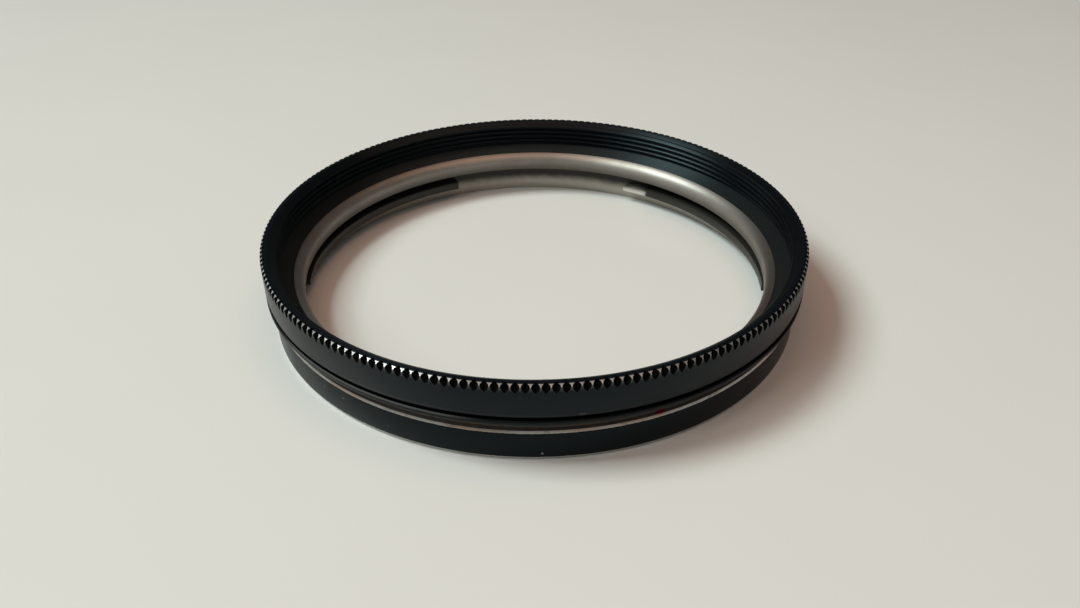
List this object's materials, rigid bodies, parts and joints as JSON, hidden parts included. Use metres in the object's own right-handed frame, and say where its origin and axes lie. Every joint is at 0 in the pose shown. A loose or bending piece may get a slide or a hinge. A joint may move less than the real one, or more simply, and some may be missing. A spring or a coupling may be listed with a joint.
{
  "type": "lens mounting ring",
  "caption": "Two-piece lens mounting ring: a bayonet ring with inward lugs for the lens and a knurled front ring, screwed into it, with a filter thread in its mouth.",
  "frame": {"origin": "centre of the bottom face, on the optical axis", "axes": "+Z along the optical axis, from the lens side up to the knurled front; the picture looks along +Y"},
  "size_m": [0.07, 0.07, 0.0107],
  "materials": {
    "front_ring": "semi-gloss black",
    "bayonet_ring": "bare metal with a black painted band and black lugs"
  },
  "bodies": {
    "base": {"bayonet_ring": "bayonet_ring"},
    "front": {"front_ring": "front_ring"}
  },
  "joints": [
    {"name": "front_turn", "type": "hinge", "parent": "base", "child": "front", "pos_m": [0, 0, 0.00635], "axis": [0, 0, 1], "range_deg": [0, 672]}
  ]
}
